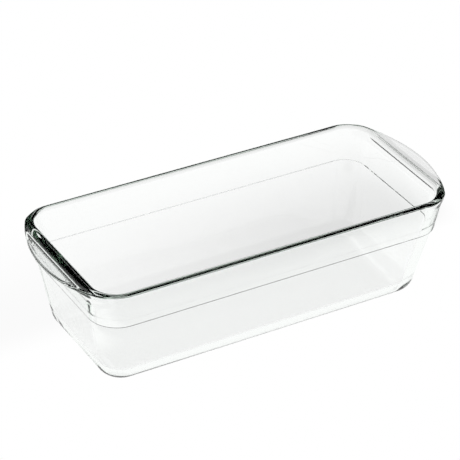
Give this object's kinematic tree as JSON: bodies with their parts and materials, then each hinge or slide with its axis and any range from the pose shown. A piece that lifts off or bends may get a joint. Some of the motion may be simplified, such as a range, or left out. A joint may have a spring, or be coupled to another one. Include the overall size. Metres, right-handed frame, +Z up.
{
  "type": "loaf dish",
  "caption": "Clear pressed-glass loaf dish: long drafted trough with round corners, rounded rim, stacking step round the wall and a flat curved lug at each end.",
  "frame": {"origin": "centre of the flat underside, on the surface that the dish stands on", "axes": "+X along the dish from lug to lug, +Y across it, +Z up out of the open top"},
  "size_m": [0.2836, 0.1176, 0.0774],
  "materials": {
    "clear_glass": "fire-polished clear glass with a faint green tint in its thick edges"
  },
  "bodies": {
    "root": {"glass_dish": "clear_glass"}
  },
  "joints": []
}
